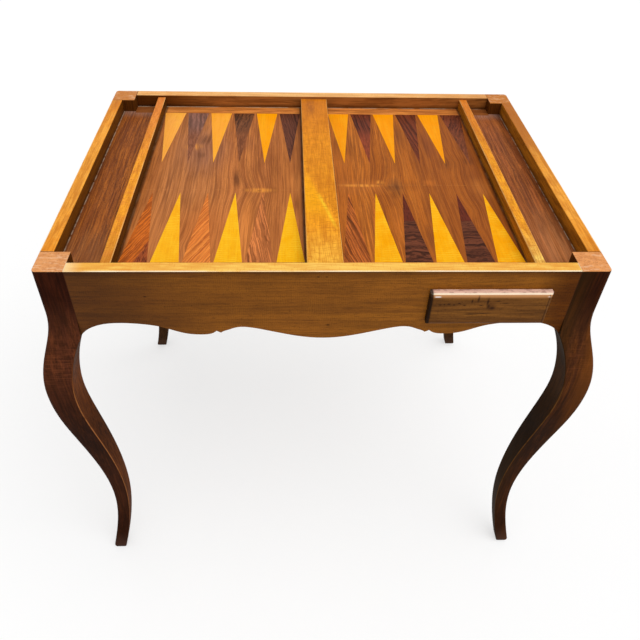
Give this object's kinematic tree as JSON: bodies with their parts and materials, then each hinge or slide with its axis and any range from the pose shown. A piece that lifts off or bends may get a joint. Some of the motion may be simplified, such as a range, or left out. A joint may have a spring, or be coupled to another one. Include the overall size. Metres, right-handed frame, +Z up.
{
  "type": "tric trac table",
  "caption": "Games table on cabriole legs: sunk well with inlaid backgammon points, centre bar, checker troughs, scalloped aprons and a lipped drawer.",
  "frame": {"origin": "on the floor, under the middle of the table", "axes": "+X along the table's length to the right, +Y from the drawer side to the back, +Z up"},
  "size_m": [0.8532, 0.6252, 0.74],
  "materials": {
    "leg_wood": "waxed dark fruitwood",
    "apron_wood": "waxed fruitwood",
    "bar_wood": "waxed light fruitwood",
    "field_walnut": "polished walnut veneer",
    "trough_walnut": "polished walnut",
    "border_wood": "polished fruitwood",
    "light_inlay": "polished lemonwood veneer",
    "dark_inlay": "polished rosewood veneer",
    "carcase_wood": "plain planed, unfinished",
    "drawer_wood": "plain planed, unfinished",
    "screw_steel": "aged steel"
  },
  "bodies": {
    "table": {"leg_front_left": "leg_wood", "leg_front_right": "leg_wood", "leg_back_left": "leg_wood", "leg_back_right": "leg_wood", "apron_front": "apron_wood", "apron_back": "apron_wood", "apron_left": "apron_wood", "apron_right": "apron_wood", "centre_bar": "bar_wood", "separator_left": "bar_wood", "separator_right": "bar_wood", "field_veneer_left": "field_walnut", "field_veneer_right": "field_walnut", "trough_veneer_left": "trough_walnut", "trough_veneer_right": "trough_walnut", "border_strips_back": "border_wood", "border_strips_front": "border_wood", "point_back_left_1": "light_inlay", "point_back_left_2": "dark_inlay", "point_back_left_3": "light_inlay", "point_back_left_4": "dark_inlay", "point_back_left_5": "light_inlay", "point_back_left_6": "dark_inlay", "point_back_right_1": "light_inlay", "point_back_right_2": "dark_inlay", "point_back_right_3": "light_inlay", "point_back_right_4": "dark_inlay", "point_back_right_5": "light_inlay", "point_back_right_6": "dark_inlay", "point_front_left_1": "dark_inlay", "point_front_left_2": "light_inlay", "point_front_left_3": "dark_inlay", "point_front_left_4": "light_inlay", "point_front_left_5": "dark_inlay", "point_front_left_6": "light_inlay", "point_front_right_1": "dark_inlay", "point_front_right_2": "light_inlay", "point_front_right_3": "dark_inlay", "point_front_right_4": "light_inlay", "point_front_right_5": "dark_inlay", "point_front_right_6": "light_inlay", "floor_board": "carcase_wood", "bearer_left": "carcase_wood", "bearer_centre": "carcase_wood", "runner_left": "carcase_wood", "runner_right": "carcase_wood", "bearer_screws": "screw_steel", "short_screws": "screw_steel"},
    "drawer": {"drawer_front": "apron_wood", "drawer_side_left": "drawer_wood", "drawer_side_right": "drawer_wood", "drawer_back": "drawer_wood", "drawer_bottom": "drawer_wood"}
  },
  "joints": [
    {"name": "drawer_slide", "type": "slide", "parent": "table", "child": "drawer", "axis": [0, -1, 0], "range_m": [0, 0.22]}
  ]
}
